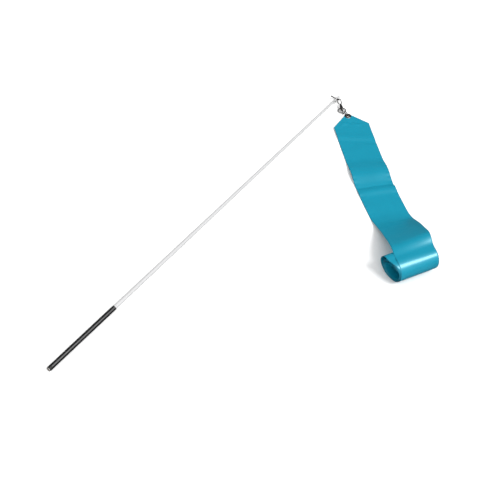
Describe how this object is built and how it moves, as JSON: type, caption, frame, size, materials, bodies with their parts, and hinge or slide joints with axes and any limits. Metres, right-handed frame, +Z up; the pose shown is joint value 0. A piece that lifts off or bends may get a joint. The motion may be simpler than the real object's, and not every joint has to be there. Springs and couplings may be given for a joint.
{
  "type": "rhythmic ribbon wand",
  "caption": "slender tapered stick with a black grip, and a satin ribbon hung from its tip by a ring, a barrel swivel and an eyelet; the ribbon is partly rolled up",
  "frame": {"origin": "middle of the object's footprint, on the surface it lies on", "axes": "+X along the stick from butt to tip, +Z up from the surface, the ribbon on the stick's -Y side"},
  "size_m": [0.56, 0.2714, 0.0323],
  "materials": {
    "white_rod": "gloss white fibreglass",
    "black_grip": "satin black",
    "black_band": "matt black",
    "chrome_wire": "polished",
    "dark_barrel": "dark nickel",
    "eyelet_metal": "polished",
    "turquoise_satin": "satin",
    "turquoise_thread": "sewn thread"
  },
  "bodies": {
    "wand": {"rod": "white_rod", "grip_sleeve": "black_grip", "butt_band": "black_band"},
    "ring": {"tip_ring": "chrome_wire"},
    "upper_eye": {"swivel_upper_eye": "chrome_wire"},
    "barrel": {"swivel_barrel": "dark_barrel"},
    "lower_eye": {"swivel_lower_eye": "chrome_wire"},
    "loop": {"link_ring": "chrome_wire"},
    "link": {"eyelet_link": "chrome_wire"},
    "ribbon": {"eyelet": "eyelet_metal", "eyelet_washer": "eyelet_metal", "ribbon_strip": "turquoise_satin", "point_stitching": "turquoise_thread", "ribbon_roll": "turquoise_satin"}
  },
  "joints": [
    {"name": "ring_swing", "type": "hinge", "parent": "wand", "child": "ring", "pos_m": [0.2734, 0.1294, 0.00157], "axis": [0, 1, 0], "range_deg": [-28, 130]},
    {"name": "upper_eye_swing", "type": "hinge", "parent": "ring", "child": "upper_eye", "pos_m": [0.26872, 0.1229, 0.00608], "axis": [-0.7193, 0, 0.6947], "range_deg": [-45, 30]},
    {"name": "barrel_spin", "type": "hinge", "parent": "upper_eye", "child": "barrel", "pos_m": [0.25967, 0.11221, 0.00375], "axis": [-0.6373, -0.7529, -0.1643], "continuous": true},
    {"name": "lower_eye_spin", "type": "hinge", "parent": "barrel", "child": "lower_eye", "pos_m": [0.25967, 0.11221, 0.00375], "axis": [-0.6373, -0.7529, -0.1643], "continuous": true},
    {"name": "loop_flip", "type": "hinge", "parent": "lower_eye", "child": "loop", "pos_m": [0.25425, 0.1058, 0.00184], "axis": [0.7632, -0.6461, 0], "range_deg": [-120, 0]},
    {"name": "link_swing", "type": "hinge", "parent": "loop", "child": "link", "pos_m": [0.25729, 0.10452, 0.00172], "axis": [-0.993, 0.0948, 0.0699], "range_deg": [-60, 60]},
    {"name": "ribbon_yaw", "type": "hinge", "parent": "link", "child": "ribbon", "pos_m": [0.25285, 0.09715, 0.00213], "axis": [0, 0, -1], "range_deg": [-100, 40]}
  ]
}
